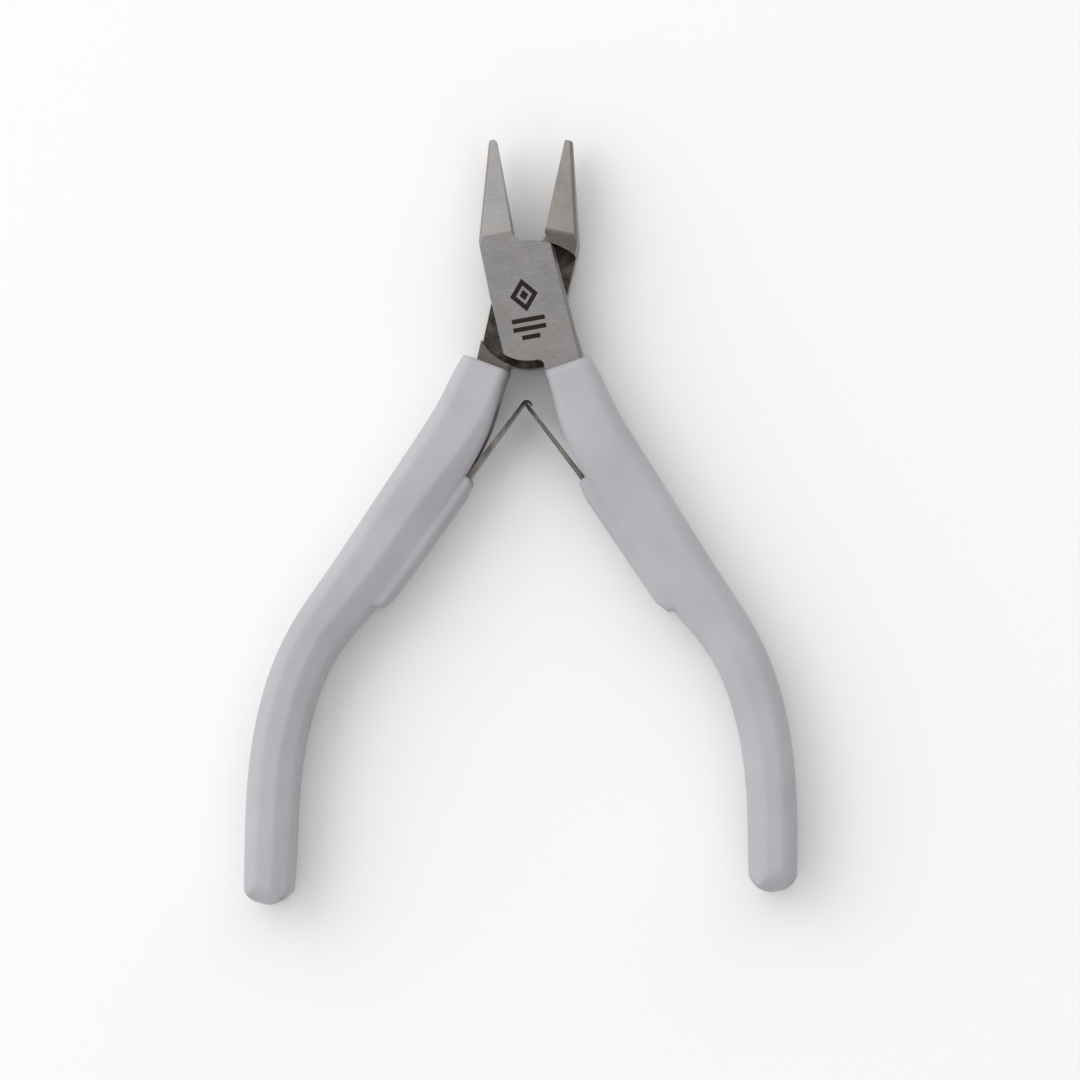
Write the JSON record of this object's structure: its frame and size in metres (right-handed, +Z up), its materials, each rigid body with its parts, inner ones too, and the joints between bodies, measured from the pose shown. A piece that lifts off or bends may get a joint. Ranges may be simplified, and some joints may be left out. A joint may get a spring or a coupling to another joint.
{
  "type": "flat nose pliers",
  "caption": "Small lap-joint flat nose pliers with smooth tapered jaws, moulded pale grips and a pair of leaf springs that hold the tool open.",
  "frame": {"origin": "middle of the open tool's length and width, on the plane the grips lie on", "axes": "+Y along the tool towards the jaw tips, +Z up out of the bench along the joint axis, +X to the right seen from above"},
  "size_m": [0.0894, 0.1246, 0.0114],
  "materials": {
    "ground_steel": "satin ground",
    "screw_steel": "turned",
    "spring_steel": "bright rolled",
    "grip_plastic": "fine matte"
  },
  "bodies": {
    "front_half": {"front_lever": "ground_steel", "joint_screw": "screw_steel", "right_grip": "grip_plastic"},
    "rear_half": {"rear_lever": "ground_steel", "left_grip": "grip_plastic"},
    "left_spring": {"left_leaf": "spring_steel"},
    "right_spring": {"right_leaf": "spring_steel"}
  },
  "joints": [
    {"name": "jaw_pivot", "type": "hinge", "parent": "front_half", "child": "rear_half", "pos_m": [0, 0.03342, 0.0057], "axis": [0, 0, 1], "range_deg": [0, 21.8], "stiffness_Nm_per_rad": 1, "springref_deg": -5.73},
    {"name": "right_leaf_root", "type": "hinge", "parent": "front_half", "child": "right_spring", "pos_m": [0.01065, 0.00563, 0.0057], "axis": [0, 0, -1], "range_deg": [0, 9.94]},
    {"name": "left_leaf_root", "type": "hinge", "parent": "rear_half", "child": "left_spring", "pos_m": [-0.01065, 0.00563, 0.0057], "axis": [0, 0, 1], "range_deg": [0, 9.94]}
  ],
  "couplings": [
    {"joint": "right_leaf_root", "follows": "jaw_pivot", "ratio": 0.456},
    {"joint": "left_leaf_root", "follows": "jaw_pivot", "ratio": 0.456}
  ]
}
